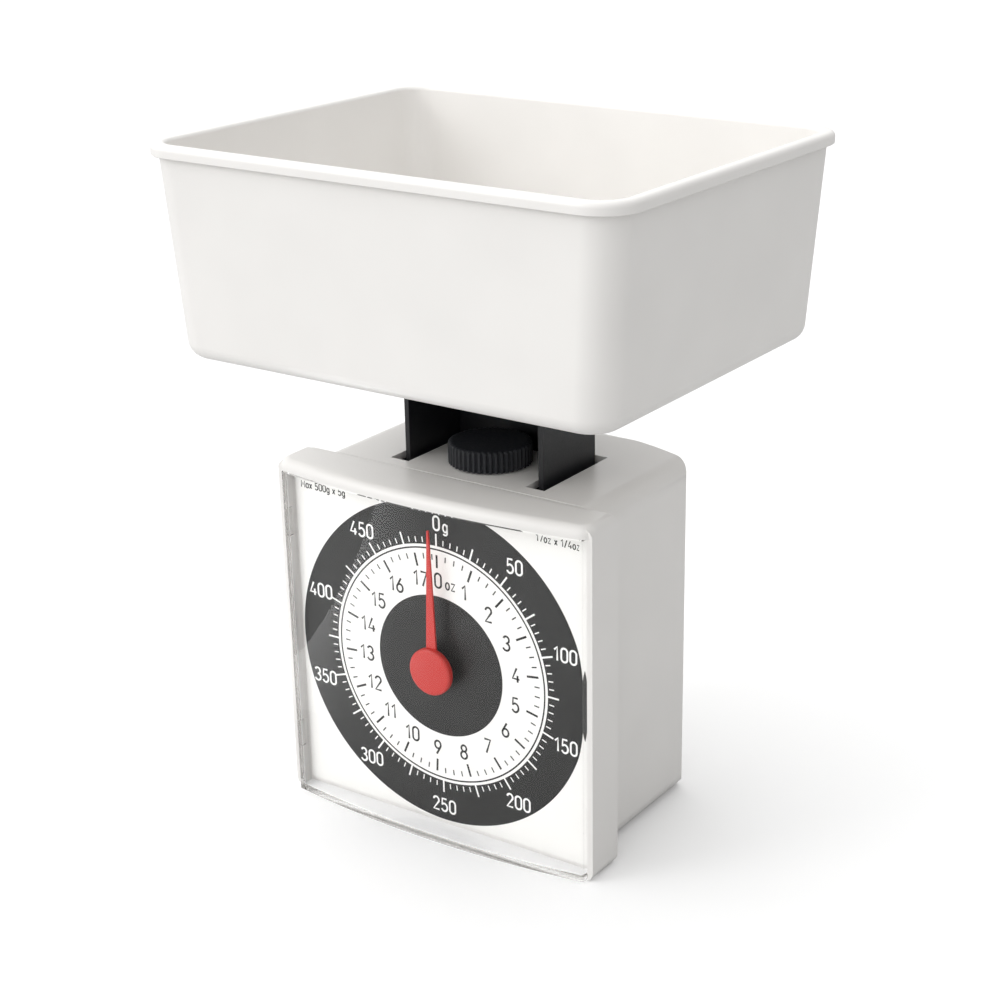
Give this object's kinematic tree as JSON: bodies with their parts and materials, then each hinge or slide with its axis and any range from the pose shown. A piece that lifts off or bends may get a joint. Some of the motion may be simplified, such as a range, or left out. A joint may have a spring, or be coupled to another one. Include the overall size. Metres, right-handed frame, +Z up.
{
  "type": "kitchen scale",
  "caption": "Mechanical kitchen scale: square dial face on a compact housing, with a rectangular lift-off bowl above.",
  "frame": {"origin": "on the surface the scale stands on, under the middle of the bowl", "axes": "+Z up, the dial faces -Y, +X is the viewer's right"},
  "size_m": [0.1288, 0.1034, 0.1676],
  "materials": {
    "white_plastic": "semi-gloss white moulded polystyrene",
    "black_plastic": "satin black moulded ABS",
    "knob_plastic": "matt black knurled ABS",
    "clear_plastic": "clear polished polystyrene, moulded lens",
    "printed_card": "printed white card, dial scale in black",
    "red_plastic": "red moulded plastic",
    "steel": "turned steel pins and screws",
    "zinc_steel": "zinc-plated pressed sheet steel",
    "spring_steel": "drawn spring wire",
    "brass": "turned brass",
    "acetal": "natural acetal"
  },
  "bodies": {
    "frame": {"rear_housing": "white_plastic", "front_bezel": "white_plastic", "lens": "clear_plastic", "dial_card": "printed_card", "chassis": "zinc_steel", "bearing_bridge": "zinc_steel", "front_bush": "brass", "rear_bush": "brass", "rack_guide": "acetal", "upper_pivot_pin": "steel", "lower_pivot_pin": "steel", "main_spring": "spring_steel", "chassis_screw_1": "steel", "chassis_screw_2": "steel", "chassis_screw_3": "steel", "chassis_screw_4": "steel", "bridge_screw_1": "steel", "bridge_screw_2": "steel", "housing_screw_1": "steel", "housing_screw_2": "steel", "housing_screw_3": "steel", "housing_screw_4": "steel"},
    "carrier": {"carrier": "black_plastic", "bowl_platform": "black_plastic", "platform_screw_1": "steel", "platform_screw_2": "steel", "upper_carrier_pin": "steel", "lower_carrier_pin": "steel", "rack_pin": "steel", "spring_pin": "steel", "rack": "acetal"},
    "bowl": {"bowl": "white_plastic"},
    "pointer": {"pointer": "red_plastic", "pointer_spindle": "steel", "pinion": "brass"},
    "upper_link": {"upper_link": "zinc_steel"},
    "lower_link": {"lower_link": "zinc_steel"},
    "zero_knob": {"zero_knob": "knob_plastic", "adjuster_screw": "steel", "knob_clip": "spring_steel"},
    "spring_hanger": {"spring_hanger": "zinc_steel"}
  },
  "joints": [
    {"name": "carrier_travel", "type": "slide", "parent": "frame", "child": "carrier", "axis": [0, 0, -1], "range_m": [0, 0.0132], "stiffness_N_per_m": 390, "springref_m": -0.00272, "deforming": ["main_spring"]},
    {"name": "bowl_lift", "type": "slide", "parent": "carrier", "child": "bowl", "axis": [0, 0, 1], "range_m": [0, 0.07]},
    {"name": "pointer_turn", "type": "hinge", "parent": "frame", "child": "pointer", "pos_m": [0, -0.0279, 0.0441], "axis": [0, 1, 0], "range_deg": [0, 379]},
    {"name": "upper_link_swing", "type": "hinge", "parent": "frame", "child": "upper_link", "pos_m": [0, 0.014, 0.0717], "axis": [1, 0, 0], "range_deg": [0, 30.8]},
    {"name": "lower_link_swing", "type": "hinge", "parent": "frame", "child": "lower_link", "pos_m": [0, 0.014, 0.0297], "axis": [1, 0, 0], "range_deg": [0, 30.8]},
    {"name": "zero_knob_turn", "type": "hinge", "parent": "frame", "child": "zero_knob", "pos_m": [0, -0.0054, 0.0926], "axis": [0, 0, 1], "range_deg": [-721, 721]},
    {"name": "spring_hanger_slide", "type": "slide", "parent": "frame", "child": "spring_hanger", "axis": [0, 0, 1], "range_m": [-0.0014, 0.0014]}
  ],
  "couplings": [
    {"joint": "pointer_turn", "follows": "carrier_travel", "rad_per_m": 500},
    {"joint": "upper_link_swing", "follows": "carrier_travel", "rad_per_m": 40.079},
    {"joint": "lower_link_swing", "follows": "carrier_travel", "rad_per_m": 40.079},
    {"joint": "zero_knob_turn", "follows": "spring_hanger_slide", "rad_per_m": -8976}
  ]
}
